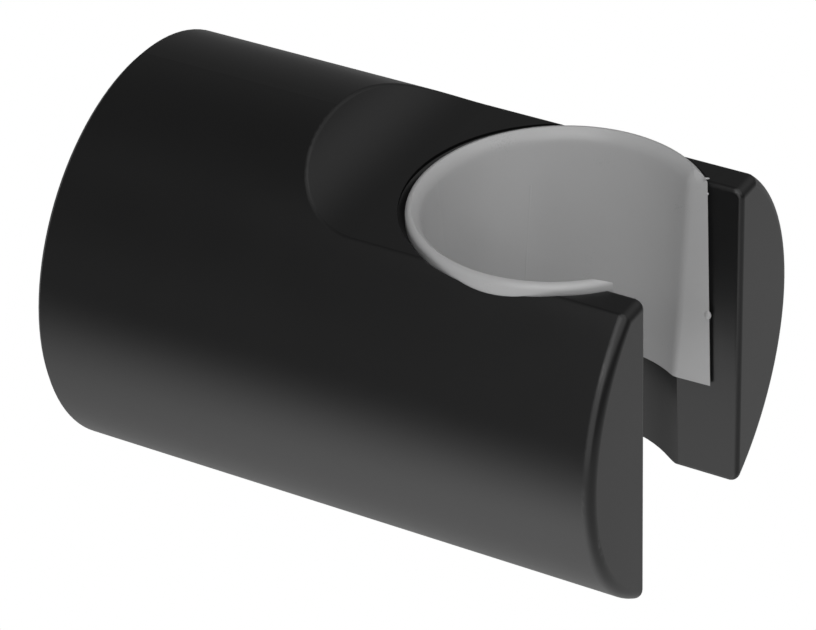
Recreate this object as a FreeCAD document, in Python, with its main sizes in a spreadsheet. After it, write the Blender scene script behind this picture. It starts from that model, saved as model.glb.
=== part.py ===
"""Hand shower holder: a round metal arm for the wall, with a lined cup for the handset's cone.

The origin is the centre of the wall face. The arm stands out along -Y, +Z is up and X runs along the wall.
All sizes are in millimetres and are driven by the spreadsheet named Sizes.
"""
import FreeCAD, Part
import math
import os

import Sketcher

SIZES = {
    # holder body: the outer form
    "body_diameter": 40.0,
    "body_length": 57.7,
    "front_rounding": 1.0,
    "rear_chamfer": 0.4,
    # holder body: the flat along the crown, which starts behind the cup, and the scoop that leads into it
    "flat_depth": 4.62,
    "flat_lead": 14.55,
    "scoop_radius": 10.0,
    "scoop_rounding": 0.5,
    # holder body: the cup's place behind the front and its lean, the bore, the liner's seat and the slot
    "cup_setback": 13.15,
    "cup_lean": 1.4,
    "bore_diameter": 23.4,
    "seat_chamfer": 0.6,
    "slot_width": 19.4,
    "slot_rounding": 0.5,
    # holder body: the socket that opens at the wall
    "socket_wall": 3.0,
    "socket_depth": 10.0,
    # cup liner
    "liner_wall": 1.4,
    "liner_height": 22.7,
    "liner_clearance": 0.05,
    "lip_rise": 0.6,
    "cone_top_diameter": 24.8,
    "cone_bottom_diameter": 22.5,
    "lead_in_height": 1.5,
    "lead_in_width": 0.8,
    "crease_rounding": 1.5,
    "mouth_width": 18.6,
    # wall bracket
    "bracket_clearance": 0.2,
    "bracket_thickness": 9.0,
    "screw_spacing": 18.0,
    "screw_hole_diameter": 4.5,
    "countersink_diameter": 9.0,
    "countersink_angle": 90.0,
    # grub screw, in the underside of the body
    "grub_reach": 5.0,
    "grub_diameter": 4.0,
    "grub_length": 4.0,
    "grub_recess": 0.4,
    "grub_point_angle": 90.0,
    "grub_chamfer": 0.4,
    "thread_clearance": 0.05,
    "point_clearance": 0.1,
    "groove_offset": 0.1,
    "hex_across_flats": 2.0,
    "hex_depth": 1.8,
    # how far a cutting profile runs past the surface that it opens
    "overrun": 2.0,
}

BODY_RADIUS = "Sizes.body_diameter / 2"
FLAT_HEIGHT = "(Sizes.body_diameter / 2 - Sizes.flat_depth)"
LIP_HEIGHT = f"({FLAT_HEIGHT} + Sizes.lip_rise)"
SEAT_HEIGHT = f"({LIP_HEIGHT} - Sizes.liner_height)"
CUP_REACH = "(Sizes.body_length - Sizes.cup_setback)"
FLAT_START = f"({CUP_REACH} - Sizes.flat_lead)"
LINER_RADIUS = "(Sizes.cone_top_diameter / 2 + Sizes.liner_wall)"
SEAT_RADIUS = f"({LINER_RADIUS} + Sizes.liner_clearance)"
SOCKET_RADIUS = "(Sizes.body_diameter / 2 - Sizes.socket_wall)"
BRACKET_RADIUS = f"({SOCKET_RADIUS} - Sizes.bracket_clearance)"
POINT_RADIUS = "(Sizes.body_diameter / 2 - Sizes.grub_recess - Sizes.grub_length)"
GROOVE_RADIUS = f"({POINT_RADIUS} - Sizes.point_clearance)"
GROOVE_REACH = "(Sizes.grub_reach - Sizes.groove_offset)"

# how near two lengths have to be to count as the same when an edge is looked up
CLOSE = 1e-4


def make_sheet(doc):
    """Fills the spreadsheet that drives every size."""
    sheet = doc.addObject("Spreadsheet::Sheet", "Sizes")
    for row, (alias, value) in enumerate(SIZES.items(), start=1):
        sheet.set(f"A{row}", alias)
        sheet.set(f"B{row}", str(value))
        sheet.setAlias(f"B{row}", alias)
    doc.recompute()
    return sheet


def value_of(obj, expression):
    """Gives an expression's present value as a plain number."""
    result = obj.evalExpression(expression)
    return float(getattr(result, "Value", result))


def origin_plane(body, role):
    """Finds one of the body's own origin planes."""
    return next(feature for feature in body.Origin.OriginFeatures if feature.Role == role)


def new_body(doc, label):
    """Starts one sub-part."""
    body = doc.addObject("PartDesign::Body", label)
    body.Label = label
    return body


def new_sketch(body, name, role, offset=None, turn=None):
    """Starts a sketch on an origin plane, moved by expressions for the offset's axes and turned in its plane."""
    sketch = body.newObject("Sketcher::SketchObject", name)
    sketch.AttachmentSupport = [(origin_plane(body, role), "")]
    sketch.MapMode = "FlatFace"
    for axis, expression in (offset or {}).items():
        sketch.setExpression(f"AttachmentOffset.Base.{axis}", expression)
    if turn:
        sketch.setExpression("AttachmentOffset.Rotation.Angle", turn)
    body.Document.recompute()
    return sketch


def place_point(sketch, geometry, vertex, corner):
    """Dimensions a point from the sketch's origin, or puts it on the axis where a coordinate is zero."""
    for kind, axis, expression in (("DistanceX", -2, corner[0]), ("DistanceY", -1, corner[1])):
        if expression == "0":
            sketch.addConstraint(Sketcher.Constraint("PointOnObject", geometry, vertex, axis))
            continue
        distance = value_of(sketch, expression)
        index = sketch.addConstraint(Sketcher.Constraint(kind, -1, 1, geometry, vertex, distance))
        sketch.setExpression(f"Constraints[{index}]", expression)


def arc_between(start, end, radius, side):
    """Gives the arc of a radius from start to end, whose centre lies on the left (1) or right (-1)."""
    chord = end - start
    half = chord.Length / 2
    normal = FreeCAD.Vector(-chord.y, chord.x, 0).normalize()
    centre = (start + end) / 2 + normal * (side * math.sqrt(max(radius * radius - half * half, 0)))
    circle = Part.Circle(centre, FreeCAD.Vector(0, 0, 1), radius)
    ends = (circle.parameter(start), circle.parameter(end))
    return Part.ArcOfCircle(circle, *(ends if side > 0 else reversed(ends)))


def draw_outline(sketch, corners, arcs=None):
    """Draws a closed profile through corners given as pairs of expressions.

    arcs maps the index of a corner to (radius expression, side) where the run that leaves it is an arc.
    """
    arcs = arcs or {}
    points = [FreeCAD.Vector(value_of(sketch, x), value_of(sketch, y), 0) for x, y in corners]
    ends = []
    for index, start in enumerate(points):
        end = points[(index + 1) % len(points)]
        if index in arcs:
            radius, side = arcs[index]
            curve = arc_between(start, end, value_of(sketch, radius), side)
            geometry = sketch.addGeometry(curve, False)
            limit = sketch.addConstraint(Sketcher.Constraint("Radius", geometry, curve.Radius))
            sketch.setExpression(f"Constraints[{limit}]", radius)
            ends.append((geometry, 1, 2) if side > 0 else (geometry, 2, 1))
        else:
            ends.append((sketch.addGeometry(Part.LineSegment(start, end), False), 1, 2))
    for index, (geometry, first, last) in enumerate(ends):
        following, start_vertex, _ = ends[(index + 1) % len(ends)]
        joint = Sketcher.Constraint("Coincident", geometry, last, following, start_vertex)
        sketch.addConstraint(joint)
    for (geometry, first, _), corner in zip(ends, corners):
        place_point(sketch, geometry, first, corner)
    sketch.Document.recompute()
    return sketch


def draw_circle(sketch, centre, diameter):
    """Draws a circle at a pair of expressions."""
    middle = FreeCAD.Vector(value_of(sketch, centre[0]), value_of(sketch, centre[1]), 0)
    circle = Part.Circle(middle, FreeCAD.Vector(0, 0, 1), value_of(sketch, diameter) / 2)
    geometry = sketch.addGeometry(circle, False)
    limit = sketch.addConstraint(Sketcher.Constraint("Diameter", geometry, 2 * circle.Radius))
    sketch.setExpression(f"Constraints[{limit}]", diameter)
    place_point(sketch, geometry, 3, centre)
    sketch.Document.recompute()
    return sketch


def revolve(body, name, sketch, axis, kind="PartDesign::Revolution"):
    """Turns a profile, or cuts it with kind PartDesign::Groove, once round one of its sketch's axes."""
    cuts = kind == "PartDesign::Groove"
    before = body.Shape.Volume if cuts else 0
    feature = body.newObject(kind, name)
    feature.Profile = sketch
    feature.ReferenceAxis = (sketch, [axis])
    feature.Angle = 360
    body.Document.recompute()
    if cuts:
        check_removed(feature, before)
    return feature


def pocket(body, name, sketch, through_both=True):
    """Cuts a profile through everything, to both sides of its sketch or only behind it."""
    before = body.Shape.Volume
    feature = body.newObject("PartDesign::Pocket", name)
    feature.Profile = sketch
    feature.Type = "ThroughAll"
    feature.Midplane = through_both
    body.Document.recompute()
    check_removed(feature, before)
    return feature


def check_removed(feature, before):
    """Makes sure that a cut took material away."""
    if not feature.Shape.Volume < before:
        raise RuntimeError(f"{feature.Name} removes nothing")


def round_edges(body, name, radius, chosen):
    """Rounds the edges of the body's latest shape for which chosen gives true."""
    base = body.Tip
    edges = [f"Edge{number}" for number, edge in enumerate(base.Shape.Edges, start=1) if chosen(edge)]
    if not edges:
        raise RuntimeError(f"{name} finds no edge")
    fillet = body.newObject("PartDesign::Fillet", name)
    fillet.Base = (base, edges)
    fillet.setExpression("Radius", radius)
    body.Document.recompute()
    return fillet


def lies_at(edge, **limits):
    """Tells whether the whole edge lies at the given coordinates, such as y=-57.7."""
    box = edge.BoundBox
    spans = {"x": (box.XMin, box.XMax), "y": (box.YMin, box.YMax), "z": (box.ZMin, box.ZMax)}
    return all(abs(end - place) < CLOSE for axis, place in limits.items() for end in spans[axis])


def cup_lean(body):
    """Gives the turn by which the cup's foot leans to the front."""
    return FreeCAD.Rotation(FreeCAD.Vector(1, 0, 0), -value_of(body, "Sizes.cup_lean"))


def make_holder_body(doc):
    """Makes the arm: a turned blank with a scooped flat, a stepped cup bore and a slot to the front."""
    body = new_body(doc, "holder_body")
    length = value_of(body, "Sizes.body_length")
    flat = value_of(body, FLAT_HEIGHT)
    flat_length = value_of(body, "Sizes.cup_setback + Sizes.flat_lead")
    half_slot = value_of(body, "Sizes.slot_width / 2")
    seat_radius = value_of(body, SEAT_RADIUS)
    cup_foot = FreeCAD.Vector(0, -value_of(body, CUP_REACH), 0)
    cup_axis = cup_lean(body).multVec(FreeCAD.Vector(0, 0, 1))

    # turned blank with the socket that opens at the wall
    blank = draw_outline(new_sketch(body, "blank_profile", "YZ_Plane"), [
        ("0", SOCKET_RADIUS),
        ("0", f"{BODY_RADIUS} - Sizes.rear_chamfer"),
        ("-Sizes.rear_chamfer", BODY_RADIUS),
        ("-Sizes.body_length", BODY_RADIUS),
        ("-Sizes.body_length", "0"),
        ("-Sizes.socket_depth", "0"),
        ("-Sizes.socket_depth", SOCKET_RADIUS),
    ])
    revolve(body, "blank", blank, "H_Axis")

    # flat along the crown, led into by the concave scoop
    scoop_top = f"({FLAT_HEIGHT} + Sizes.scoop_radius)"
    clear_top = f"({scoop_top} + Sizes.body_diameter)"
    clear_front = "-(Sizes.body_length + Sizes.overrun)"
    saddle = draw_outline(new_sketch(body, "saddle_profile", "YZ_Plane"), [
        (clear_front, FLAT_HEIGHT),
        (f"-{FLAT_START}", FLAT_HEIGHT),
        (f"-({FLAT_START} - Sizes.scoop_radius)", scoop_top),
        (f"-({FLAT_START} - Sizes.scoop_radius)", clear_top),
        (clear_front, clear_top),
    ], {1: ("Sizes.scoop_radius", 1)})
    pocket(body, "saddle", saddle)
    round_edges(body, "saddle_edge", "Sizes.scoop_rounding",
                lambda edge: lies_at(edge, z=flat) and edge.BoundBox.YLength > flat_length / 2)
    round_edges(body, "front_edge", "Sizes.front_rounding", lambda edge: lies_at(edge, y=-length))

    # stepped bore for the leaning cup, with the liner's seat and the chamfer that leads into it
    cup_plane = new_sketch(body, "cup_profile", "YZ_Plane", {"x": f"-{CUP_REACH}"}, "-Sizes.cup_lean")
    cup = draw_outline(cup_plane, [
        ("0", "-Sizes.body_diameter"),
        ("Sizes.bore_diameter / 2", "-Sizes.body_diameter"),
        ("Sizes.bore_diameter / 2", SEAT_HEIGHT),
        (SEAT_RADIUS, SEAT_HEIGHT),
        (SEAT_RADIUS, f"{FLAT_HEIGHT} - Sizes.seat_chamfer"),
        (f"{SEAT_RADIUS} + Sizes.seat_chamfer", FLAT_HEIGHT),
        (f"{SEAT_RADIUS} + Sizes.seat_chamfer", clear_top),
        ("0", clear_top),
    ])
    revolve(body, "cup", cup, "V_Axis", "PartDesign::Groove")

    # slot through which the hose swings in from the front
    slot = draw_outline(new_sketch(body, "slot_profile", "XY_Plane"), [
        ("-Sizes.slot_width / 2", f"-{CUP_REACH}"),
        ("-Sizes.slot_width / 2", clear_front),
        ("Sizes.slot_width / 2", clear_front),
        ("Sizes.slot_width / 2", f"-{CUP_REACH}"),
    ])
    pocket(body, "slot", slot)

    def bounds_slot(edge):
        """Tells whether the edge runs round a slot wall and reaches out past the liner's seat."""
        in_wall = lies_at(edge, x=half_slot) or lies_at(edge, x=-half_slot)
        reach = max(vertex.Point.distanceToLine(cup_foot, cup_axis) for vertex in edge.Vertexes)
        return in_wall and reach > seat_radius + CLOSE

    round_edges(body, "slot_edge", "Sizes.slot_rounding", bounds_slot)

    # tapped hole in the underside for the grub screw
    thread = new_sketch(body, "thread_profile", "XY_Plane")
    draw_circle(thread, ("0", "-Sizes.grub_reach"), "Sizes.grub_diameter + 2 * Sizes.thread_clearance")
    pocket(body, "thread_hole", thread, through_both=False)
    return body


def make_cup_liner(doc):
    """Makes the plastic insert: a tapered cup wall with a rounded lip, open at the slot."""
    body = new_body(doc, "cup_liner")
    body.Placement = FreeCAD.Placement(FreeCAD.Vector(0, -value_of(body, CUP_REACH), 0), cup_lean(body))

    # turned wall: taper for the handset's cone, lead-in at its top and rounded lip
    lead_in_foot = f"({LIP_HEIGHT} - Sizes.lead_in_height)"
    top_radius = "Sizes.cone_top_diameter / 2"
    crest_radius = f"({top_radius} + Sizes.lead_in_width)"
    lip_rounding = f"({LINER_RADIUS} - {crest_radius})"
    lead_in_radius = "(Sizes.lead_in_width ^ 2 + Sizes.lead_in_height ^ 2) / (2 * Sizes.lead_in_width)"
    wall = draw_outline(new_sketch(body, "wall_profile", "YZ_Plane"), [
        ("Sizes.cone_bottom_diameter / 2", SEAT_HEIGHT),
        (LINER_RADIUS, SEAT_HEIGHT),
        (LINER_RADIUS, f"{LIP_HEIGHT} - {lip_rounding}"),
        (crest_radius, LIP_HEIGHT),
        (top_radius, lead_in_foot),
    ], {2: (lip_rounding, 1), 3: (lead_in_radius, 1)})
    revolve(body, "wall", wall, "V_Axis")

    # mouth in line with the body's slot
    mouth = draw_outline(new_sketch(body, "mouth_profile", "XY_Plane"), [
        ("-Sizes.mouth_width / 2", "0"),
        ("-Sizes.mouth_width / 2", f"-2 * {LINER_RADIUS}"),
        ("Sizes.mouth_width / 2", f"-2 * {LINER_RADIUS}"),
        ("Sizes.mouth_width / 2", "0"),
    ])
    pocket(body, "mouth", mouth)
    half_mouth = value_of(body, "Sizes.mouth_width / 2")
    outer_radius = value_of(body, LINER_RADIUS)
    front = -math.sqrt(outer_radius ** 2 - half_mouth ** 2)

    def is_crease(edge):
        """Tells whether the edge is where the taper meets one of the two faces beside the mouth."""
        in_mouth_face = lies_at(edge, x=half_mouth) or lies_at(edge, x=-half_mouth)
        upright = edge.BoundBox.ZLength > value_of(body, "Sizes.lead_in_height * 2")
        return in_mouth_face and upright and not lies_at(edge, y=front)

    round_edges(body, "crease", "Sizes.crease_rounding", is_crease)
    return body


def make_wall_bracket(doc):
    """Makes the concealed disc: two countersunk screw holes and a groove for the grub screw's point."""
    body = new_body(doc, "wall_bracket")

    # turned disc with the groove round its rim
    groove_half = f"({BRACKET_RADIUS} - {GROOVE_RADIUS}) * tan(Sizes.grub_point_angle / 2 * 1 deg)"
    disc = draw_outline(new_sketch(body, "disc_profile", "YZ_Plane"), [
        ("0", "0"),
        ("0", BRACKET_RADIUS),
        (f"-({GROOVE_REACH} - {groove_half})", BRACKET_RADIUS),
        (f"-{GROOVE_REACH}", GROOVE_RADIUS),
        (f"-({GROOVE_REACH} + {groove_half})", BRACKET_RADIUS),
        ("-Sizes.bracket_thickness", BRACKET_RADIUS),
        ("-Sizes.bracket_thickness", "0"),
    ])
    revolve(body, "disc", disc, "H_Axis")

    # countersunk holes for the two wall screws, level with each other
    place = new_sketch(body, "screw_profile", "XZ_Plane", {"z": "Sizes.bracket_thickness"})
    draw_circle(place, ("Sizes.screw_spacing / 2", "0"), "Sizes.screw_hole_diameter")
    before = body.Shape.Volume
    hole = body.newObject("PartDesign::Hole", "screw_hole")
    hole.Profile = place
    doc.recompute()
    hole.DepthType = "ThroughAll"
    hole.HoleCutType = "Countersink"
    hole.HoleCutCustomValues = True
    hole.setExpression("Diameter", "Sizes.screw_hole_diameter")
    hole.setExpression("HoleCutDiameter", "Sizes.countersink_diameter")
    hole.setExpression("HoleCutCountersinkAngle", "Sizes.countersink_angle")
    doc.recompute()
    check_removed(hole, before)
    pair = body.newObject("PartDesign::Mirrored", "screw_holes")
    pair.Originals = [hole]
    pair.MirrorPlane = (origin_plane(body, "YZ_Plane"), [""])
    body.Tip = pair
    doc.recompute()
    check_removed(pair, hole.Shape.Volume)
    return body


def make_grub_screw(doc):
    """Makes the set screw: a cone point upward, a hexagon socket below."""
    body = new_body(doc, "grub_screw")
    body.setExpression("Placement.Base.y", "-Sizes.grub_reach")
    body.setExpression("Placement.Base.z", f"-({BODY_RADIUS} - Sizes.grub_recess)")

    # turned shank: its foot is the socket end, its top the point
    radius = "Sizes.grub_diameter / 2"
    shoulder = f"Sizes.grub_length - {radius} / tan(Sizes.grub_point_angle / 2 * 1 deg)"
    shank = draw_outline(new_sketch(body, "shank_profile", "YZ_Plane"), [
        ("0", "0"),
        (f"{radius} - Sizes.grub_chamfer", "0"),
        (radius, "Sizes.grub_chamfer"),
        (radius, shoulder),
        ("0", "Sizes.grub_length"),
    ])
    revolve(body, "shank", shank, "V_Axis")

    # hexagon socket
    hexagon = [(f"Sizes.hex_across_flats / sqrt(3) * cos({turn} deg)",
                f"Sizes.hex_across_flats / sqrt(3) * sin({turn} deg)" if turn % 180 else "0")
               for turn in range(0, 360, 60)]
    socket = draw_outline(new_sketch(body, "socket_profile", "XY_Plane"), hexagon)
    before = body.Shape.Volume
    recess = body.newObject("PartDesign::Pocket", "socket")
    recess.Profile = socket
    recess.Reversed = True
    recess.setExpression("Length", "Sizes.hex_depth")
    doc.recompute()
    check_removed(recess, before)
    return body


def check_document(doc, bodies):
    """Stops when an object failed or a sub-part has no valid shape."""
    failed = [item.Name for item in doc.Objects if {"Invalid", "Error"} & set(item.State)]
    if failed:
        raise RuntimeError("failed objects: " + ", ".join(failed))
    for body in bodies:
        if body.Shape.isNull() or not body.Shape.isValid() or len(body.Shape.Solids) != 1:
            raise RuntimeError(f"{body.Label} is not one valid solid")


def main():
    """Builds the document and writes each sub-part."""
    doc = FreeCAD.newDocument("hand_shower_holder")
    make_sheet(doc)
    bodies = [make(doc) for make in (make_holder_body, make_cup_liner, make_wall_bracket, make_grub_screw)]
    doc.recompute()
    check_document(doc, bodies)
    os.makedirs("parts", exist_ok=True)
    for body in bodies:
        body.Shape.exportStep(f"parts/{body.Label}.step")
        print(f"{body.Label}: {body.Shape.Volume / 1000:.2f} cm3, {len(body.Shape.Faces)} faces")


main()
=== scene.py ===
"""Scene of a hand shower holder: a satin black arm with a scooped flat, and a grey liner in its cup.

Everything is in metres, in the frame of the solids: the wall face lies at y = 0, the arm stands out
along -Y, +Z is up and X runs along the wall.
"""
import logging
import math
from dataclasses import dataclass
from enum import Enum

import bmesh
import bpy
from mathutils import Matrix, Vector


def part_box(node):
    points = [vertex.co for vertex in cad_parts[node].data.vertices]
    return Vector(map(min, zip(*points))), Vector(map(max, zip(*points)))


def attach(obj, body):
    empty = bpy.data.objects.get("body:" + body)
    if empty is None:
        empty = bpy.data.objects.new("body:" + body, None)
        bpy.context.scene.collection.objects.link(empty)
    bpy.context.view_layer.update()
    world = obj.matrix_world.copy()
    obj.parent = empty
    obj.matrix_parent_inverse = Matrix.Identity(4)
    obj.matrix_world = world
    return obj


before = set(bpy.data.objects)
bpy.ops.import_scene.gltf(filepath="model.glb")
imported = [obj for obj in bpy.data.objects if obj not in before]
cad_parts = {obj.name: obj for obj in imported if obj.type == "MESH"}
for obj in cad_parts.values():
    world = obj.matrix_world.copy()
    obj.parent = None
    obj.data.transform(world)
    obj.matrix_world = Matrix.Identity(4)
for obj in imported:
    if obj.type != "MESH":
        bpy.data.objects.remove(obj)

logging.basicConfig(level=logging.INFO, format="%(name)s: %(message)s")
log = logging.getLogger("holder_scene")

Colour = tuple[float, float, float]
Point = tuple[float, float, float]
MM = 0.001
WHITE = (1.0, 1.0, 1.0, 1.0)
WAVER_SCALE = 6.0
BEAD_POINTS = 64
DRIFT_SHARE = 0.6
DRIFT_COARSENESS = 12.0
LATHE_ROUGHNESS = 0.08


class Grain(Enum):
    """Kinds of surface grain, each with the ratio of its fine layer's scale to its coarse layer's."""

    POWDER = 5.0
    MOULDED = 3.0
    TURNED = 8.0


class Socket(Enum):
    """Socket types of the node groups."""

    VALUE = "NodeSocketFloat"
    COUNT = "NodeSocketInt"
    COLOUR = "NodeSocketColor"
    VECTOR = "NodeSocketVector"
    MATERIAL = "NodeSocketMaterial"
    GEOMETRY = "NodeSocketGeometry"


class NodeCanvas:
    """A node tree with short calls for adding and joining nodes."""

    def __init__(self, tree: bpy.types.NodeTree) -> None:
        """Keeps the tree.

        Args:
            tree: The node tree that nodes are added to.
        """
        self.tree = tree

    def add(self, kind: str, label: str = "", **settings: object) -> bpy.types.Node:
        """Adds a node.

        Args:
            kind: The node's type name.
            label: What the node is for.
            **settings: Properties set on the node.

        Returns:
            The new node.
        """
        node = self.tree.nodes.new(kind)
        node.label = label
        for name, value in settings.items():
            setattr(node, name, value)
        return node

    def join(self, source: bpy.types.NodeSocket, target: bpy.types.NodeSocket) -> None:
        """Links an output to an input."""
        self.tree.links.new(source, target)

    def feed(self, socket: bpy.types.NodeSocket, value: object) -> None:
        """Links a socket where the value is one, and sets it otherwise.

        Args:
            socket: The input.
            value: An output socket or a plain value.
        """
        if isinstance(value, bpy.types.NodeSocket):
            self.join(value, socket)
        else:
            socket.default_value = value

    def math(self, operation: str, *values: object) -> bpy.types.NodeSocket:
        """Adds a Math node.

        Args:
            operation: The operation's name.
            *values: Its inputs, sockets or numbers.

        Returns:
            The result's socket.
        """
        node = self.add("ShaderNodeMath", operation=operation)
        for socket, value in zip(node.inputs, values):
            self.feed(socket, value)
        return node.outputs[0]

    def vector_math(self, operation: str, *values: object) -> bpy.types.Node:
        """Adds a Vector Math node.

        Args:
            operation: The operation's name.
            *values: Its inputs, sockets or triples.

        Returns:
            The node, whose Vector or Value output the caller picks.
        """
        node = self.add("ShaderNodeVectorMath", operation=operation)
        for socket, value in zip(node.inputs, values):
            self.feed(socket, value)
        return node

    def mix_colour(self, factor: object, first: object, second: object) -> bpy.types.NodeSocket:
        """Mixes two colours.

        Args:
            factor: The share of the second colour.
            first: A colour or a colour socket.
            second: A colour or a colour socket.

        Returns:
            The mixed colour's socket.
        """
        node = self.add("ShaderNodeMix", data_type="RGBA")
        self.feed(node.inputs[0], factor)
        self.feed(node.inputs[6], first)
        self.feed(node.inputs[7], second)
        return node.outputs[2]

    def mix_shader(self, factor: bpy.types.NodeSocket, first: bpy.types.NodeSocket,
                   second: bpy.types.NodeSocket) -> bpy.types.NodeSocket:
        """Mixes two shaders.

        Args:
            factor: The share of the second shader.
            first: A shader's socket.
            second: A shader's socket.

        Returns:
            The mixed shader's socket.
        """
        node = self.add("ShaderNodeMixShader")
        for socket, source in zip(node.inputs, (factor, first, second)):
            self.join(source, socket)
        return node.outputs[0]


def new_group(name: str, kind: str, inputs: dict[str, tuple[Socket, object]],
              outputs: dict[str, Socket]) -> tuple[NodeCanvas, bpy.types.Node, bpy.types.Node]:
    """Starts a node group with named sockets.

    Args:
        name: The group's name.
        kind: The type of its tree.
        inputs: Socket type and default, or None, by input name.
        outputs: Socket type by output name.

    Returns:
        The group's canvas, its input node and its output node.
    """
    tree = bpy.data.node_groups.new(name, kind)
    for label, (socket, default) in inputs.items():
        made = tree.interface.new_socket(name=label, in_out="INPUT", socket_type=socket.value)
        if default is not None:
            made.default_value = default
    for label, socket in outputs.items():
        tree.interface.new_socket(name=label, in_out="OUTPUT", socket_type=socket.value)
    canvas = NodeCanvas(tree)
    return canvas, canvas.add("NodeGroupInput"), canvas.add("NodeGroupOutput")


@dataclass(frozen=True)
class CupFrame:
    """The cup's own frame: its axis is +Z, its mouth faces -Y, and its foot leans to the front."""

    reach: float = 44.55 * MM
    lean: float = 1.4

    def matrix(self) -> Matrix:
        """Gives the move from the cup's frame to the holder's."""
        return Matrix.Translation((0.0, -self.reach, 0.0)) @ Matrix.Rotation(-math.radians(self.lean), 4, "X")


@dataclass(frozen=True)
class ConeRidge:
    """A fine ridge down the inside of the cup's cone, as the split of a mould leaves it."""

    heights: tuple[float, float] = (10.5 * MM, -6.4 * MM)
    angles: tuple[float, float] = (130.8, 139.2)
    radii: tuple[float, float] = (12.184 * MM, 11.267 * MM)
    bead_radius: float = 0.6 * MM
    rise: float = 0.012 * MM
    waver: float = 0.05 * MM
    steps: int = 48
    seed: int = 7

    def make_group(self) -> bpy.types.NodeTree:
        """Builds the rule: a line is laid down the cone, wavers a little and carries a round bead.

        Returns:
            The geometry node group.
        """
        canvas, given, result = new_group("cone_ridge", "GeometryNodeTree", {
            "Top Height": (Socket.VALUE, None), "Foot Height": (Socket.VALUE, None),
            "Top Angle": (Socket.VALUE, None), "Foot Angle": (Socket.VALUE, None),
            "Top Radius": (Socket.VALUE, None), "Foot Radius": (Socket.VALUE, None),
            "Bead Radius": (Socket.VALUE, None), "Rise": (Socket.VALUE, None),
            "Waver": (Socket.VALUE, None), "Steps": (Socket.COUNT, None),
            "Seed": (Socket.VALUE, None), "Material": (Socket.MATERIAL, None),
        }, {"Geometry": Socket.GEOMETRY})
        line = canvas.add("GeometryNodeCurvePrimitiveLine")
        spaced = canvas.add("GeometryNodeResampleCurve", "steps")
        canvas.join(line.outputs["Curve"], spaced.inputs["Curve"])
        canvas.join(given.outputs["Steps"], spaced.inputs["Count"])
        share = canvas.add("GeometryNodeSplineParameter").outputs["Factor"]

        def between(first: str, last: str) -> bpy.types.NodeSocket:
            """Runs from one input at the top to another at the foot."""
            span = canvas.math("SUBTRACT", given.outputs[last], given.outputs[first])
            return canvas.math("ADD", given.outputs[first], canvas.math("MULTIPLY", span, share))

        height = between("Top Height", "Foot Height")
        depth = canvas.math("SUBTRACT", given.outputs["Bead Radius"], given.outputs["Rise"])
        radius = canvas.math("ADD", between("Top Radius", "Foot Radius"), depth)
        drift = canvas.add("ShaderNodeTexNoise", "waver", noise_dimensions="1D")
        drift.inputs["Scale"].default_value = WAVER_SCALE
        canvas.join(canvas.math("ADD", share, given.outputs["Seed"]), drift.inputs["W"])
        sway = canvas.math("MULTIPLY", canvas.math("SUBTRACT", drift.outputs[0], 0.5), given.outputs["Waver"])
        turn = canvas.math("RADIANS", between("Top Angle", "Foot Angle"))
        angle = canvas.math("ADD", turn, canvas.math("DIVIDE", sway, radius))
        place = canvas.add("ShaderNodeCombineXYZ", "point on the cone")
        canvas.join(canvas.math("MULTIPLY", radius, canvas.math("SINE", angle)), place.inputs["X"])
        forward = canvas.math("MULTIPLY", radius, canvas.math("COSINE", angle))
        canvas.join(canvas.math("MULTIPLY", forward, -1.0), place.inputs["Y"])
        canvas.join(height, place.inputs["Z"])
        laid = canvas.add("GeometryNodeSetPosition")
        canvas.join(spaced.outputs["Curve"], laid.inputs["Geometry"])
        canvas.join(place.outputs[0], laid.inputs["Position"])
        bead = canvas.add("GeometryNodeCurvePrimitiveCircle", "bead", mode="RADIUS")
        bead.inputs["Resolution"].default_value = BEAD_POINTS
        canvas.join(given.outputs["Bead Radius"], bead.inputs["Radius"])
        swept = canvas.add("GeometryNodeCurveToMesh")
        swept.inputs["Fill Caps"].default_value = True
        canvas.join(laid.outputs["Geometry"], swept.inputs["Curve"])
        canvas.join(bead.outputs["Curve"], swept.inputs["Profile Curve"])
        whole = canvas.add("GeometryNodeRealizeInstances")
        canvas.join(swept.outputs["Mesh"], whole.inputs["Geometry"])
        painted = canvas.add("GeometryNodeSetMaterial")
        canvas.join(whole.outputs["Geometry"], painted.inputs["Geometry"])
        canvas.join(given.outputs["Material"], painted.inputs["Material"])
        canvas.join(painted.outputs["Geometry"], result.inputs["Geometry"])
        return canvas.tree

    def build(self, name: str, cup: CupFrame, material: bpy.types.Material) -> bpy.types.Object:
        """Grows the ridge.

        Args:
            name: The piece's name.
            cup: The cup's frame.
            material: The ridge's material.

        Returns:
            The ridge.
        """
        return grow(name, self.make_group(), cup.matrix(), {
            "Top Height": self.heights[0], "Foot Height": self.heights[1],
            "Top Angle": self.angles[0], "Foot Angle": self.angles[1],
            "Top Radius": self.radii[0], "Foot Radius": self.radii[1],
            "Bead Radius": self.bead_radius, "Rise": self.rise, "Waver": self.waver,
            "Steps": self.steps, "Seed": float(self.seed), "Material": material,
        })


@dataclass(frozen=True)
class Nub:
    """A smooth nub that stands out of the liner, such as the rest of a gate."""

    centre: Point
    half: Point
    rings: int = 24

    def add_to(self, shape: bmesh.types.BMesh) -> None:
        """Adds the nub.

        Args:
            shape: The mesh under construction.
        """
        size = Matrix.Diagonal((*self.half, 1.0))
        bmesh.ops.create_uvsphere(shape, u_segments=2 * self.rings, v_segments=self.rings, radius=1.0,
                                  matrix=Matrix.Translation(self.centre) @ size)


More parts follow.
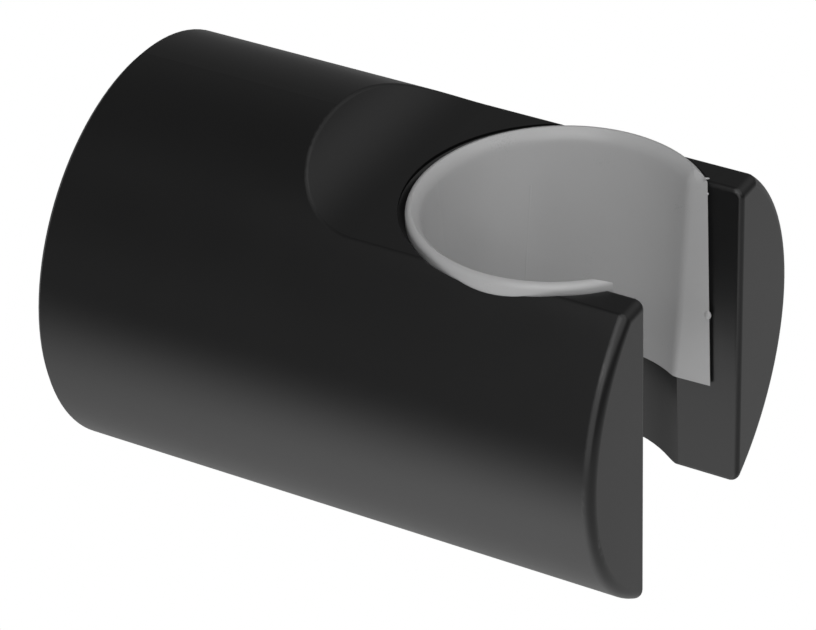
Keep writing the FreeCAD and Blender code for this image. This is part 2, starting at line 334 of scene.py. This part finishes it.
@dataclass(frozen=True)
class Burr:
    """A short blunt burr at the corner of the lip."""

    root: Point
    direction: Point
    length: float
    root_radius: float
    tip_radius: float
    segments: int = 24

    def add_to(self, shape: bmesh.types.BMesh) -> None:
        """Adds the burr.

        Args:
            shape: The mesh under construction.
        """
        along = Vector(self.direction).normalized()
        place = Matrix.Translation(Vector(self.root) + along * self.length / 2)
        bmesh.ops.create_cone(shape, cap_ends=True, segments=self.segments, radius1=self.root_radius,
                              radius2=self.tip_radius, depth=self.length,
                              matrix=place @ along.to_track_quat("Z", "Y").to_matrix().to_4x4())


def grow(name: str, group: bpy.types.NodeTree, place: Matrix, values: dict[str, object]) -> bpy.types.Object:
    """Evaluates a geometry node group once and keeps the mesh.

    Args:
        name: The piece's name.
        group: The geometry node group.
        place: The move from the group's frame to the holder's.
        values: The group's inputs by name.

    Returns:
        The piece, with its place in its mesh.
    """
    seed_mesh = bpy.data.meshes.new(f"{name}_seed")
    seed = bpy.data.objects.new(f"{name}_seed", seed_mesh)
    bpy.context.scene.collection.objects.link(seed)
    modifier = seed.modifiers.new("growth", "NODES")
    modifier.node_group = group
    for item in group.interface.items_tree:
        if item.in_out == "INPUT":
            modifier[item.identifier] = values[item.name]
    graph = bpy.context.evaluated_depsgraph_get()
    mesh = bpy.data.meshes.new_from_object(seed.evaluated_get(graph))
    seed.modifiers.remove(modifier)
    bpy.data.objects.remove(seed)
    bpy.data.meshes.remove(seed_mesh)
    mesh.name = name
    mesh.transform(place)
    mesh.shade_smooth()
    piece = bpy.data.objects.new(name, mesh)
    bpy.context.scene.collection.objects.link(piece)
    return piece


class SurfaceEffects:
    """The shader groups that more than one finish uses."""

    def __init__(self) -> None:
        """Builds each group once."""
        self.grain = self._make_grain()
        self.lathe_marks = self._make_lathe_marks()
        self.sky_lobe = self._make_sky_lobe()
        self.light_pool = self._make_light_pool()

    def _make_grain(self) -> bpy.types.NodeTree:
        """Builds the grain: a coarse drift and a fine pebble.

        Returns:
            The group, which puts out a colour, a roughness and a height.
        """
        canvas, given, result = new_group("surface_grain", "ShaderNodeTree", {
            "Vector": (Socket.VECTOR, None),
            "Scale": (Socket.VALUE, 900.0),
            "Ratio": (Socket.VALUE, 4.0),
            "Dark": (Socket.COLOUR, (0.1, 0.1, 0.1, 1.0)),
            "Pale": (Socket.COLOUR, (0.2, 0.2, 0.2, 1.0)),
            "Smooth": (Socket.VALUE, 0.3),
            "Rough": (Socket.VALUE, 0.4),
        }, {"Colour": Socket.COLOUR, "Roughness": Socket.VALUE, "Height": Socket.VALUE})
        drift = canvas.add("ShaderNodeTexNoise", "slow drift")
        drift.inputs["Detail"].default_value = 2.0
        canvas.join(given.outputs["Vector"], drift.inputs["Vector"])
        canvas.join(canvas.math("DIVIDE", given.outputs["Scale"], DRIFT_COARSENESS), drift.inputs["Scale"])
        pebble = canvas.add("ShaderNodeTexNoise", "fine pebble")
        pebble.inputs["Detail"].default_value = 3.0
        canvas.join(given.outputs["Vector"], pebble.inputs["Vector"])
        fine = canvas.math("MULTIPLY", given.outputs["Scale"], given.outputs["Ratio"])
        canvas.join(fine, pebble.inputs["Scale"])
        share = canvas.math("ADD", canvas.math("MULTIPLY", drift.outputs[0], DRIFT_SHARE),
                            canvas.math("MULTIPLY", pebble.outputs[0], 1.0 - DRIFT_SHARE))
        canvas.join(canvas.mix_colour(share, given.outputs["Dark"], given.outputs["Pale"]),
                    result.inputs["Colour"])
        spread = canvas.math("SUBTRACT", given.outputs["Rough"], given.outputs["Smooth"])
        canvas.join(canvas.math("ADD", given.outputs["Smooth"], canvas.math("MULTIPLY", spread, share)),
                    result.inputs["Roughness"])
        canvas.join(pebble.outputs[0], result.inputs["Height"])
        return canvas.tree

    def _make_lathe_marks(self) -> bpy.types.NodeTree:
        """Builds the fine rings that turning leaves on metal.

        Returns:
            The group, which puts out a mask between 0 and 1.
        """
        canvas, given, result = new_group("lathe_marks", "ShaderNodeTree", {
            "Vector": (Socket.VECTOR, None),
            "Pitch": (Socket.VALUE, 0.0002),
        }, {"Mask": Socket.VALUE})
        apart = canvas.add("ShaderNodeSeparateXYZ")
        canvas.join(given.outputs["Vector"], apart.inputs[0])
        flat = canvas.add("ShaderNodeCombineXYZ", "distance from the arm's axis")
        canvas.join(apart.outputs["X"], flat.inputs["X"])
        canvas.join(apart.outputs["Z"], flat.inputs["Y"])
        radius = canvas.vector_math("LENGTH", flat.outputs[0]).outputs["Value"]
        along = canvas.math("ADD", radius, apart.outputs["Y"])
        rings = canvas.add("ShaderNodeTexNoise", "ring depth", noise_dimensions="1D")
        rings.inputs["Detail"].default_value = 4.0
        rings.inputs["Scale"].default_value = 1.0
        canvas.join(canvas.math("DIVIDE", along, given.outputs["Pitch"]), rings.inputs["W"])
        canvas.join(rings.outputs[0], result.inputs["Mask"])
        return canvas.tree

    def _make_sky_lobe(self) -> bpy.types.NodeTree:
        """Builds a soft patch of light in one direction of the room.

        Returns:
            The group, which puts out a strength.
        """
        canvas, given, result = new_group("sky_lobe", "ShaderNodeTree", {
            "Vector": (Socket.VECTOR, None),
            "Direction": (Socket.VECTOR, (0.0, 0.0, 1.0)),
            "Tightness": (Socket.VALUE, 8.0),
            "Strength": (Socket.VALUE, 1.0),
        }, {"Strength": Socket.VALUE})
        facing = canvas.vector_math("DOT_PRODUCT", given.outputs["Vector"], given.outputs["Direction"])
        lit = canvas.math("MAXIMUM", facing.outputs["Value"], 0.0)
        soft = canvas.math("POWER", lit, given.outputs["Tightness"])
        canvas.join(canvas.math("MULTIPLY", soft, given.outputs["Strength"]), result.inputs[0])
        return canvas.tree

    def _make_light_pool(self) -> bpy.types.NodeTree:
        """Builds a round pool of light that fades outwards on a floor.

        Returns:
            The group, which puts out a strength.
        """
        canvas, given, result = new_group("light_pool", "ShaderNodeTree", {
            "Vector": (Socket.VECTOR, None),
            "Centre": (Socket.VECTOR, (0.0, 0.0, 0.0)),
            "Radius": (Socket.VALUE, 0.3),
            "Strength": (Socket.VALUE, 1.0),
        }, {"Strength": Socket.VALUE})
        offset = canvas.vector_math("DISTANCE", given.outputs["Vector"], given.outputs["Centre"])
        share = canvas.math("DIVIDE", offset.outputs["Value"], given.outputs["Radius"])
        fade = canvas.math("EXPONENT", canvas.math("MULTIPLY", canvas.math("MULTIPLY", share, share), -1.0))
        canvas.join(canvas.math("MULTIPLY", fade, given.outputs["Strength"]), result.inputs[0])
        return canvas.tree


@dataclass(frozen=True)
class Finish:
    """One finish: its colours, its gloss and its grain."""

    name: str
    dark: Colour
    pale: Colour
    smooth: float
    rough: float
    grain: Grain
    grain_scale: float
    grain_depth: float
    metallic: float = 0.0
    ior: float = 1.5
    lathe_pitch: float = 0.0

    def make(self, effects: SurfaceEffects) -> bpy.types.Material:
        """Builds the finish as a material.

        Args:
            effects: The shared shader groups.

        Returns:
            The material.
        """
        material = bpy.data.materials.new(self.name)
        material.use_nodes = True
        canvas = NodeCanvas(material.node_tree)
        shader = canvas.tree.nodes["Principled BSDF"]
        shader.inputs["Metallic"].default_value = self.metallic
        shader.inputs["IOR"].default_value = self.ior
        place = canvas.add("ShaderNodeTexCoord")
        grain = canvas.add("ShaderNodeGroup", "grain", node_tree=effects.grain)
        canvas.join(place.outputs["Object"], grain.inputs["Vector"])
        grain.inputs["Scale"].default_value = self.grain_scale
        grain.inputs["Ratio"].default_value = self.grain.value
        grain.inputs["Dark"].default_value = (*self.dark, 1.0)
        grain.inputs["Pale"].default_value = (*self.pale, 1.0)
        grain.inputs["Smooth"].default_value = self.smooth
        grain.inputs["Rough"].default_value = self.rough
        colour, roughness, height = (grain.outputs[name] for name in ("Colour", "Roughness", "Height"))
        if self.lathe_pitch:
            marks = canvas.add("ShaderNodeGroup", "turning marks", node_tree=effects.lathe_marks)
            canvas.join(place.outputs["Object"], marks.inputs["Vector"])
            marks.inputs["Pitch"].default_value = self.lathe_pitch
            height = canvas.math("ADD", height, marks.outputs["Mask"])
            extra = canvas.math("MULTIPLY", marks.outputs["Mask"], LATHE_ROUGHNESS)
            roughness = canvas.math("ADD", roughness, extra)
        bump = canvas.add("ShaderNodeBump", "grain relief")
        bump.inputs["Strength"].default_value = 1.0
        bump.inputs["Distance"].default_value = self.grain_depth
        canvas.join(height, bump.inputs["Height"])
        canvas.join(colour, shader.inputs["Base Color"])
        canvas.join(roughness, shader.inputs["Roughness"])
        canvas.join(bump.outputs["Normal"], shader.inputs["Normal"])
        return material


SATIN_BLACK = Finish(
    name="satin_black_coat",
    dark=(0.0022, 0.0022, 0.0023), pale=(0.0031, 0.0031, 0.0032),
    smooth=0.27, rough=0.33, grain=Grain.POWDER, grain_scale=1800.0, grain_depth=1.2e-6)
LINER_GREY = Finish(
    name="liner_grey_plastic",
    dark=(0.415, 0.415, 0.417), pale=(0.445, 0.445, 0.447),
    smooth=0.25, rough=0.32, grain=Grain.MOULDED, grain_scale=2600.0, grain_depth=1.5e-6)
BRACKET_STEEL = Finish(
    name="bracket_turned_steel",
    dark=(0.50, 0.50, 0.51), pale=(0.60, 0.60, 0.61),
    smooth=0.26, rough=0.36, grain=Grain.TURNED, grain_scale=900.0, grain_depth=2.0e-6,
    metallic=1.0, lathe_pitch=0.00022)
SCREW_STEEL = Finish(
    name="screw_dark_steel",
    dark=(0.16, 0.16, 0.165), pale=(0.26, 0.26, 0.265),
    smooth=0.28, rough=0.40, grain=Grain.TURNED, grain_scale=2400.0, grain_depth=1.0e-6,
    metallic=1.0, lathe_pitch=0.00009)


def carried_over(node: str, material: bpy.types.Material) -> None:
    """Keeps a solid's own shape and gives it its finish.

    Args:
        node: The node's name.
        material: Its material.
    """
    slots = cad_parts[node].data.materials
    if slots:
        for index in range(len(slots)):
            slots[index] = material
    else:
        slots.append(material)
    low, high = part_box(node)
    log.info("%s keeps its solid, %.1f x %.1f x %.1f mm", node, *((high - low) / MM))


@dataclass
class Arm:
    """The black arm that stands out from the wall."""

    finish: Finish = SATIN_BLACK

    def build(self, effects: SurfaceEffects) -> None:
        """Dresses the arm in its coat."""
        carried_over("holder_body", self.finish.make(effects))


@dataclass
class CupLiner:
    """The grey insert of the cup, with the marks that its mould left."""

    finish: Finish = LINER_GREY
    cup: CupFrame = CupFrame()
    ridge: ConeRidge = ConeRidge()
    nubs: tuple[Nub, ...] = (
        Nub(centre=(9.34 * MM, -54.55 * MM, 1.35 * MM), half=(0.21 * MM, 0.35 * MM, 0.44 * MM)),
        Nub(centre=(9.33 * MM, -54.36 * MM, 14.45 * MM), half=(0.10 * MM, 0.12 * MM, 0.14 * MM)),
    )
    burr: Burr = Burr(root=(9.24 * MM, -54.06 * MM, 16.05 * MM), direction=(0.3, -0.95, 0.1),
                      length=0.48 * MM, root_radius=0.12 * MM, tip_radius=0.06 * MM)

    def build(self, effects: SurfaceEffects) -> None:
        """Dresses the liner in its plastic and adds the mould's marks.

        Args:
            effects: The shared shader groups.
        """
        material = self.finish.make(effects)
        carried_over("cup_liner", material)
        ridge = self.ridge.build("liner_witness_ridge", self.cup, material)
        for piece in (ridge, self._edge_marks(material)):
            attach(piece, "root")
            log.info("%s with %d faces", piece.name, len(piece.data.polygons))

    def _edge_marks(self, material: bpy.types.Material) -> bpy.types.Object:
        """Makes the nubs and the burr on the liner's front edge.

        Args:
            material: The liner's material.

        Returns:
            The marks as one piece.
        """
        mesh = bpy.data.meshes.new("liner_edge_marks")
        shape = bmesh.new()
        for mark in (*self.nubs, self.burr):
            mark.add_to(shape)
        shape.to_mesh(mesh)
        shape.free()
        mesh.shade_smooth()
        mesh.materials.append(material)
        piece = bpy.data.objects.new("liner_edge_marks", mesh)
        bpy.context.scene.collection.objects.link(piece)
        return piece


@dataclass
class WallFixing:
    """The concealed disc and the set screw that hold the arm."""

    bracket_finish: Finish = BRACKET_STEEL
    screw_finish: Finish = SCREW_STEEL

    def build(self, effects: SurfaceEffects) -> None:
        """Dresses the disc and the screw in their metal."""
        carried_over("wall_bracket", self.bracket_finish.make(effects))
        carried_over("grub_screw", self.screw_finish.make(effects))


@dataclass(frozen=True)
class SoftLamp:
    """A square area lamp aimed at the holder."""

    name: str
    direction: Point
    distance: float
    side: float
    power: float

    def build(self, aim: Vector) -> None:
        """Builds the lamp.

        Args:
            aim: The point that it lights.
        """
        lamp = bpy.data.lights.new(self.name, "AREA")
        lamp.shape = "SQUARE"
        lamp.size = self.side
        lamp.energy = self.power
        piece = bpy.data.objects.new(self.name, lamp)
        towards = Vector(self.direction).normalized()
        piece.location = aim + towards * self.distance
        piece.rotation_euler = towards.to_track_quat("Z", "Y").to_euler()
        bpy.context.scene.collection.objects.link(piece)
        log.info("%s at %.2f m", self.name, self.distance)


@dataclass(frozen=True)
class Lobe:
    """A soft patch of the room's light."""

    direction: Point
    tightness: float
    strength: float


@dataclass(frozen=True)
class Pool:
    """A soft pool of light on the floor."""

    centre: tuple[float, float]
    radius: float
    strength: float


@dataclass
class Studio:
    """The pale floor, the dim room and the soft lamps."""

    floor_height: float = -0.25
    floor_half: float = 2.5
    floor_colour: Colour = (0.72, 0.72, 0.72)
    aim: Point = (0.0, -0.035, 0.0)
    room_level: float = 0.158
    lobes: tuple[Lobe, ...] = (
        Lobe((0.68, -0.48, 0.55), 10.0, 0.38),
        Lobe((0.70, -0.15, 0.70), 14.0, 0.03),
        Lobe((-0.93, 0.36, 0.05), 12.0, 0.13),
    )
    pools: tuple[Pool, ...] = (
        Pool((-0.20, 0.00), 0.16, 0.95),
        Pool((-0.20, 0.16), 0.16, 0.08),
        Pool((-0.38, 0.15), 0.18, 0.36),
        Pool((-0.38, -0.05), 0.18, 0.25),
        Pool((0.50, -0.33), 0.30, 0.12),
    )
    lamps: tuple[SoftLamp, ...] = (
        SoftLamp("key_lamp", (-0.30, -0.55, 1.00), 0.9, 1.40, 5.60),
        SoftLamp("high_left_lamp", (-0.70, -0.10, 0.90), 0.9, 0.60, 0.90),
        SoftLamp("crest_lamp", (-0.82, -0.02, 0.56), 0.9, 0.08, 0.30),
        SoftLamp("far_left_lamp", (-0.95, -0.30, 0.20), 0.9, 0.90, 2.60),
    )

    def build(self, effects: SurfaceEffects) -> None:
        """Builds the floor, the room and the lamps.

        Args:
            effects: The shared shader groups.
        """
        self._lay_floor(effects)
        self._light_room(effects)
        for lamp in self.lamps:
            lamp.build(Vector(self.aim))

    def _plain_view(self, canvas: NodeCanvas) -> bpy.types.NodeSocket:
        """Gives 1 for rays that see the white ground straight or through clear matter.

        Glossy rays see the dim room, because the dark upper side of the coat reflects one.

        Args:
            canvas: The canvas that the test is added to.

        Returns:
            The mask's socket.
        """
        path = canvas.add("ShaderNodeLightPath")
        return canvas.math("MAXIMUM", path.outputs["Is Camera Ray"], path.outputs["Is Transmission Ray"])

    def _lay_floor(self, effects: SurfaceEffects) -> None:
        """Lays the pale floor.

        Args:
            effects: The shared shader groups.
        """
        half = self.floor_half
        mesh = bpy.data.meshes.new("studio_floor")
        shape = bmesh.new()
        corners = [shape.verts.new((x, y, self.floor_height))
                   for x, y in ((-half, -half), (half, -half), (half, half), (-half, half))]
        shape.faces.new(corners)
        shape.to_mesh(mesh)
        shape.free()
        mesh.materials.append(self._floor_finish(effects))
        floor = bpy.data.objects.new("studio_floor", mesh)
        bpy.context.scene.collection.objects.link(floor)
        log.info("floor laid %.2f m below the arm", -self.floor_height)

    def _floor_finish(self, effects: SurfaceEffects) -> bpy.types.Material:
        """Makes the floor pale, with its pools of light, and clear from below.

        Args:
            effects: The shared shader groups.

        Returns:
            The floor's material.
        """
        material = bpy.data.materials.new("studio_floor")
        material.use_nodes = True
        canvas = NodeCanvas(material.node_tree)
        canvas.tree.nodes.clear()
        place = canvas.add("ShaderNodeTexCoord")
        level: object = 0.0
        for pool in self.pools:
            node = canvas.add("ShaderNodeGroup", "pool", node_tree=effects.light_pool)
            canvas.join(place.outputs["Object"], node.inputs["Vector"])
            node.inputs["Centre"].default_value = (*pool.centre, self.floor_height)
            node.inputs["Radius"].default_value = pool.radius
            node.inputs["Strength"].default_value = pool.strength
            level = canvas.math("ADD", node.outputs[0], level)
        glow = canvas.add("ShaderNodeEmission", "pools of light")
        canvas.join(level, glow.inputs["Strength"])
        diffuse = canvas.add("ShaderNodeBsdfDiffuse", "pale floor")
        diffuse.inputs["Color"].default_value = (*self.floor_colour, 1.0)
        lit = canvas.add("ShaderNodeAddShader")
        canvas.join(glow.outputs[0], lit.inputs[0])
        canvas.join(diffuse.outputs[0], lit.inputs[1])
        white = canvas.add("ShaderNodeEmission", "white ground")
        seen = canvas.mix_shader(self._plain_view(canvas), lit.outputs[0], white.outputs[0])
        clear = canvas.add("ShaderNodeBsdfTransparent", "clear from below")
        below = canvas.add("ShaderNodeNewGeometry").outputs["Backfacing"]
        one_sided = canvas.mix_shader(below, seen, clear.outputs[0])
        canvas.join(one_sided, canvas.add("ShaderNodeOutputMaterial").inputs["Surface"])
        return material

    def _light_room(self, effects: SurfaceEffects) -> None:
        """Gives the room its dim light and its white ground.

        Args:
            effects: The shared shader groups.
        """
        world = bpy.data.worlds.new("studio_room")
        world.use_nodes = True
        bpy.context.scene.world = world
        canvas = NodeCanvas(world.node_tree)
        canvas.tree.nodes.clear()
        place = canvas.add("ShaderNodeTexCoord")
        towards = canvas.vector_math("NORMALIZE", place.outputs["Generated"]).outputs["Vector"]
        level = self.room_level
        for lobe in self.lobes:
            node = canvas.add("ShaderNodeGroup", "lobe", node_tree=effects.sky_lobe)
            canvas.join(towards, node.inputs["Vector"])
            node.inputs["Direction"].default_value = Vector(lobe.direction).normalized()
            node.inputs["Tightness"].default_value = lobe.tightness
            node.inputs["Strength"].default_value = lobe.strength
            level = canvas.math("ADD", node.outputs[0], level)
        room = canvas.add("ShaderNodeBackground", "dim room")
        room.inputs["Color"].default_value = WHITE
        canvas.join(level, room.inputs["Strength"])
        white = canvas.add("ShaderNodeBackground", "white ground")
        white.inputs["Color"].default_value = WHITE
        seen = canvas.mix_shader(self._plain_view(canvas), room.outputs[0], white.outputs[0])
        canvas.join(seen, canvas.add("ShaderNodeOutputWorld").inputs["Surface"])
        log.info("room lit with %d patches", len(self.lobes))


@dataclass(frozen=True)
class PhotoCamera:
    """The camera at the photograph's place."""

    azimuth: float = -59.282
    elevation: float = 33.87
    roll: float = -2.098
    focal_pixels: float = 4004.872
    image_width: float = 816.0
    sensor_width: float = 36.0
    distance: float = 385.072 * MM
    right_offset: float = 24.462 * MM
    up_offset: float = -8.033 * MM
    nearest: float = 0.01
    farthest: float = 20.0

    def build(self) -> None:
        """Builds the camera and makes it the scene's."""
        azimuth, elevation, roll = (math.radians(v) for v in (self.azimuth, self.elevation, self.roll))
        level = Vector((math.cos(azimuth), math.sin(azimuth), 0.0))
        back = Vector((math.sin(azimuth) * math.cos(elevation), -math.cos(azimuth) * math.cos(elevation),
                       math.sin(elevation)))
        upright = back.cross(level)
        right = level * math.cos(roll) + upright * math.sin(roll)
        up = upright * math.cos(roll) - level * math.sin(roll)
        data = bpy.data.cameras.new("photo_camera")
        data.sensor_fit = "HORIZONTAL"
        data.sensor_width = self.sensor_width
        data.lens = self.focal_pixels * self.sensor_width / self.image_width
        data.clip_start = self.nearest
        data.clip_end = self.farthest
        camera = bpy.data.objects.new("photo_camera", data)
        place = right * self.right_offset + up * self.up_offset + back * self.distance
        turn = Matrix((right, up, back)).transposed().to_4x4()
        camera.matrix_world = Matrix.Translation(place) @ turn
        bpy.context.scene.collection.objects.link(camera)
        bpy.context.scene.camera = camera
        log.info("camera %.1f mm lens, %.0f mm away", data.lens, self.distance / MM)


def main() -> None:
    """Builds the scene in order."""
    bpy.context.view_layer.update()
    bpy.context.scene.view_settings.view_transform = "Standard"
    effects = SurfaceEffects()
    PhotoCamera().build()
    Studio().build(effects)
    for part in (Arm(), CupLiner(), WallFixing()):
        part.build(effects)


if __name__ == "__main__":
    main()
